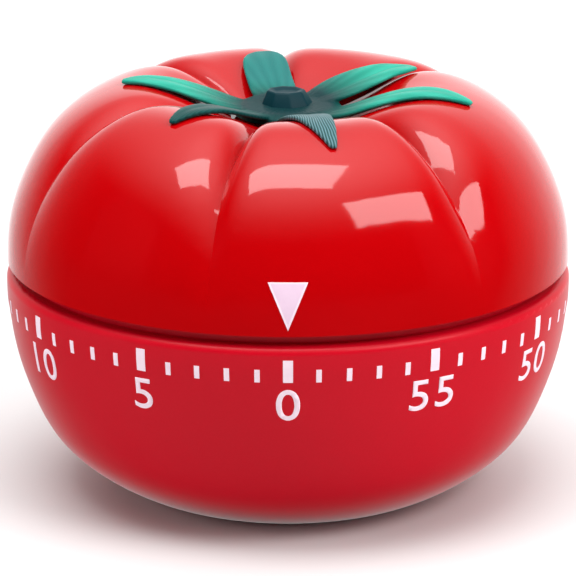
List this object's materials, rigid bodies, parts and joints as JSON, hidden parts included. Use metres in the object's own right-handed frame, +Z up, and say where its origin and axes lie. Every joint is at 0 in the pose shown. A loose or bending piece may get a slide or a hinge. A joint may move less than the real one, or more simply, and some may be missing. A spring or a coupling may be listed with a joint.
{
  "type": "kitchen timer",
  "caption": "Tomato-shaped mechanical countdown kitchen timer with a lobed winding knob, leaf calyx, printed minute scale, spring movement and bell.",
  "frame": {"origin": "centre of the base, on the surface the timer stands on", "axes": "+Z up along the knob's axis, -Y towards the zero mark and pointer, +X to the right seen from the front"},
  "size_m": [0.0646, 0.0646, 0.048],
  "materials": {
    "gloss_red": "polished red moulded plastic",
    "satin_red": "satin red moulded plastic",
    "calyx_green": "satin teal-green moulded plastic",
    "base_plastic": "matt red moulded plastic",
    "zinc_steel": "turned, zinc-plated",
    "plate_steel": "pressed sheet, zinc-plated",
    "spring_steel": "blued spring steel",
    "brass": "stamped and brushed",
    "bell_steel": "nickel-plated pressed bell"
  },
  "bodies": {
    "case": {"lower_shell": "satin_red", "base_cover": "base_plastic", "base_cover_screws": "zinc_steel", "lower_plate": "plate_steel", "upper_plate": "plate_steel", "plate_pillars": "brass", "pillar_screws": "zinc_steel", "movement_screws": "zinc_steel", "mainspring": "spring_steel", "spring_post": "zinc_steel", "stop_pin": "zinc_steel", "trip_finger": "spring_steel", "trip_finger_screw": "zinc_steel", "hammer_spring": "spring_steel", "bell": "bell_steel", "bell_post": "brass", "bell_screw": "zinc_steel"},
    "dial": {"top_shell": "gloss_red", "calyx": "calyx_green", "main_arbor": "zinc_steel", "clutch_washer": "plate_steel", "arbor_ring": "plate_steel", "trip_cam": "plate_steel"},
    "great_wheel": {"great_wheel": "brass"},
    "second_arbor": {"second_pinion": "zinc_steel", "second_wheel": "brass"},
    "third_arbor": {"third_pinion": "zinc_steel", "third_wheel": "brass"},
    "escape_arbor": {"escape_pinion": "zinc_steel", "escape_wheel": "brass", "strike_star": "zinc_steel"},
    "pallet": {"pallet_arbor": "zinc_steel", "pallet_lever": "plate_steel", "pallet_pins": "spring_steel", "balance_bar": "brass"},
    "hammer": {"hammer_arbor": "zinc_steel", "hammer_arm": "plate_steel", "hammer_head": "brass"}
  },
  "joints": [
    {"name": "dial_turn", "type": "hinge", "parent": "case", "child": "dial", "pos_m": [0, 0, 0.03], "axis": [0, 0, -1], "range_deg": [0, 350], "deforming": ["mainspring", "trip_finger"]},
    {"name": "great_wheel_turn", "type": "hinge", "parent": "case", "child": "great_wheel", "pos_m": [0, 0, 0.0154], "axis": [0, 0, -1], "range_deg": [0, 350]},
    {"name": "second_turn", "type": "hinge", "parent": "case", "child": "second_arbor", "pos_m": [0.00669, 0.01371, 0.0154], "axis": [0, 0, -1], "continuous": true},
    {"name": "third_turn", "type": "hinge", "parent": "case", "child": "third_arbor", "pos_m": [0.01484, 0.0083, 0.0169], "axis": [0, 0, -1], "continuous": true},
    {"name": "escape_turn", "type": "hinge", "parent": "case", "child": "escape_arbor", "pos_m": [0.017, 0, 0.025], "axis": [0, 0, -1], "continuous": true},
    {"name": "pallet_rock", "type": "hinge", "parent": "case", "child": "pallet", "pos_m": [0.02085, -0.00667, 0.0178], "axis": [0, 0, 1], "range_deg": [-4, 4]},
    {"name": "hammer_swing", "type": "hinge", "parent": "case", "child": "hammer", "pos_m": [0.02292, 0.00215, 0.0095], "axis": [0, 0, -1], "range_deg": [-5, 2.4], "stiffness_Nm_per_rad": 0.0008}
  ],
  "couplings": [
    {"joint": "great_wheel_turn", "follows": "dial_turn", "ratio": 1},
    {"joint": "second_turn", "follows": "dial_turn", "ratio": -7.7143},
    {"joint": "third_turn", "follows": "dial_turn", "ratio": 46.286},
    {"joint": "escape_turn", "follows": "dial_turn", "ratio": -277.71}
  ]
}
